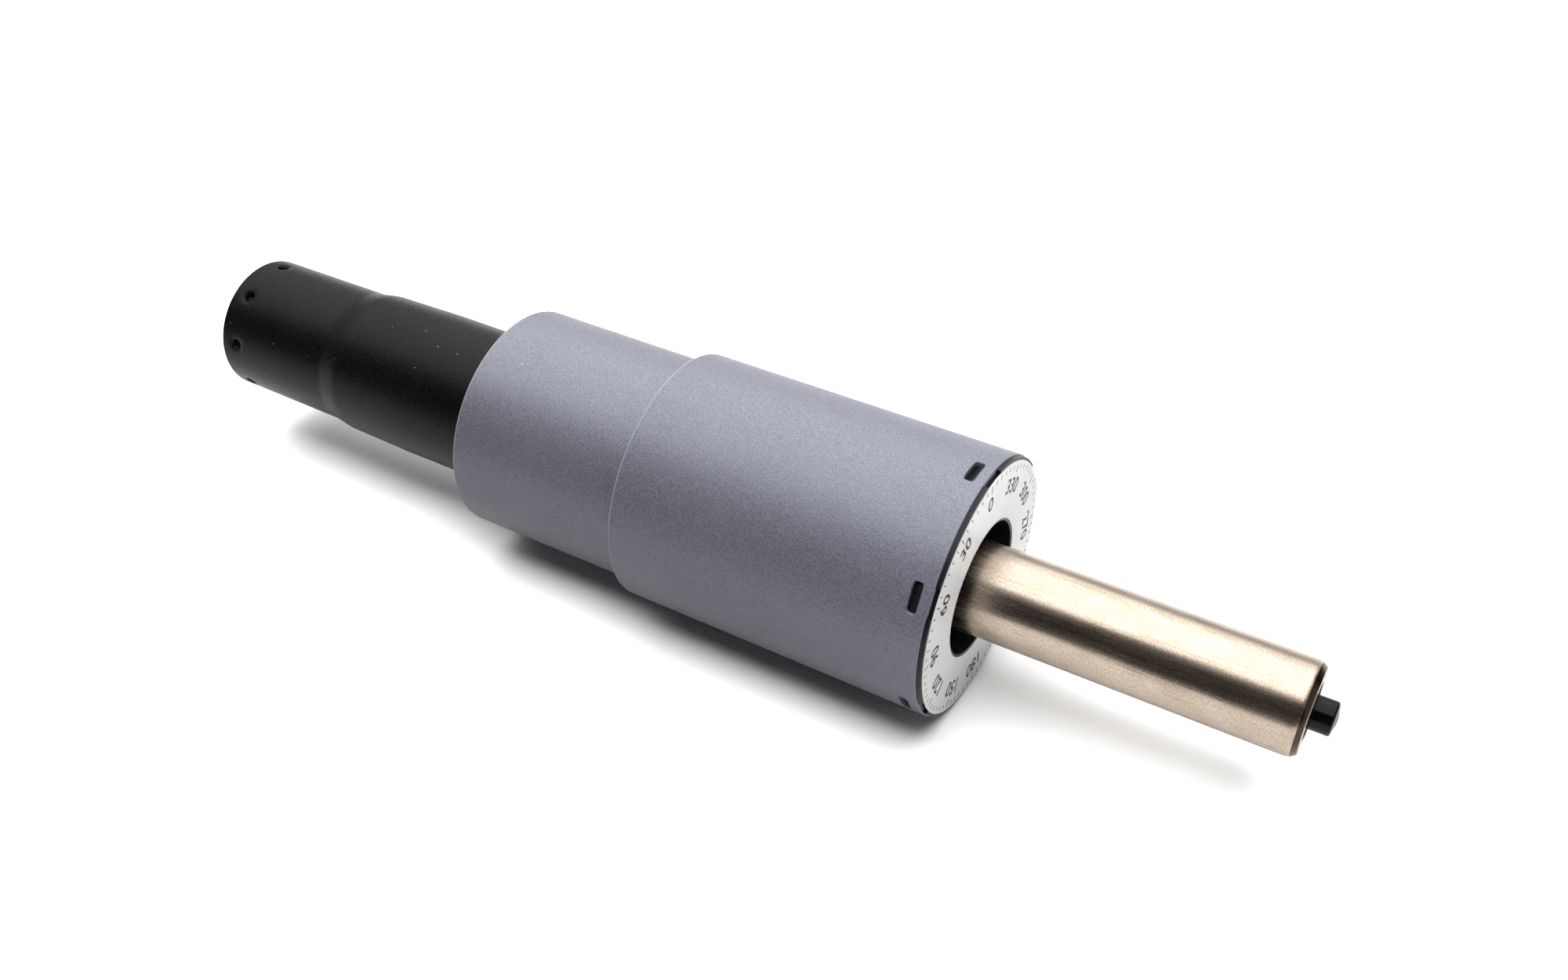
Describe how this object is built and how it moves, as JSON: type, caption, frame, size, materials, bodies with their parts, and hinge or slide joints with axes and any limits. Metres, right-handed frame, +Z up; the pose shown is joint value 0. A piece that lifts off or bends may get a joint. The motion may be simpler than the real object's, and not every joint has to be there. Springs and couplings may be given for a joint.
{
  "type": "chair gas lift cylinder",
  "caption": "Height-adjusting column for a swivel chair: tapered black standpipe, telescopic grey plastic cover with a snap-in end cap, steel pressure tube and release button.",
  "frame": {"origin": "centre of the standpipe's lower end face, where the chair base's hub holds the taper", "axes": "+X along the lift from the tapered lower end to the seat end, +Z up as the lift lies on its side"},
  "size_m": [0.3846, 0.0816, 0.0814],
  "materials": {
    "coated_steel": "black satin powder coat",
    "tube_steel": "ground and polished, warm grey",
    "plain_steel": "bright zinc, satin",
    "hard_steel": "hardened and polished",
    "valve_metal": "turned",
    "cover_plastic": "bluish grey, fine moulded texture",
    "cap_plastic": "dark grey, moulded",
    "label_film": "white, smooth",
    "button_plastic": "black, smooth",
    "bush_plastic": "natural white acetal",
    "cage_plastic": "amber nylon",
    "rubber": "matt black"
  },
  "bodies": {
    "column": {"standpipe": "coated_steel", "end_plate": "plain_steel", "guide_bush": "bush_plastic", "bearing_lower_race": "hard_steel"},
    "ball_ring": {"bearing_cage": "cage_plastic", "bearing_balls": "hard_steel"},
    "rod": {"piston_rod": "hard_steel", "bearing_upper_race": "hard_steel", "retaining_clip": "plain_steel", "end_washer": "plain_steel", "buffer": "rubber", "buffer_washer": "plain_steel", "piston": "valve_metal", "piston_seal": "rubber", "piston_nut": "plain_steel"},
    "gas_cylinder": {"pressure_tube": "tube_steel", "inner_tube": "plain_steel", "seal_washer": "plain_steel", "rod_seal": "rubber", "rod_guide": "valve_metal", "valve_body": "valve_metal", "valve_rings": "rubber", "pin_seal": "rubber"},
    "release": {"release_button": "button_plastic", "valve_pin": "hard_steel"},
    "upper_cover": {"upper_sleeve": "cover_plastic", "end_cap": "cap_plastic", "label_disc": "label_film"},
    "lower_cover": {"lower_sleeve": "cover_plastic"}
  },
  "joints": [
    {"name": "swivel", "type": "hinge", "parent": "column", "child": "rod", "pos_m": [0, 0, 0], "axis": [1, 0, 0], "continuous": true},
    {"name": "ball_roll", "type": "hinge", "parent": "column", "child": "ball_ring", "pos_m": [0, 0, 0], "axis": [1, 0, 0], "continuous": true},
    {"name": "height", "type": "slide", "parent": "rod", "child": "gas_cylinder", "axis": [1, 0, 0], "range_m": [-0.068, 0], "stiffness_N_per_m": 1500, "springref_m": 0.233},
    {"name": "button", "type": "slide", "parent": "gas_cylinder", "child": "release", "axis": [-1, 0, 0], "range_m": [0, 0.0035], "stiffness_N_per_m": 600, "springref_m": -0.005},
    {"name": "cover_slide", "type": "slide", "parent": "gas_cylinder", "child": "upper_cover", "axis": [1, 0, 0], "range_m": [-0.004, 0.04]},
    {"name": "cover_telescope", "type": "slide", "parent": "upper_cover", "child": "lower_cover", "axis": [1, 0, 0], "range_m": [-0.016, 0.062]}
  ],
  "couplings": [
    {"joint": "ball_roll", "follows": "swivel", "ratio": 0.5}
  ]
}
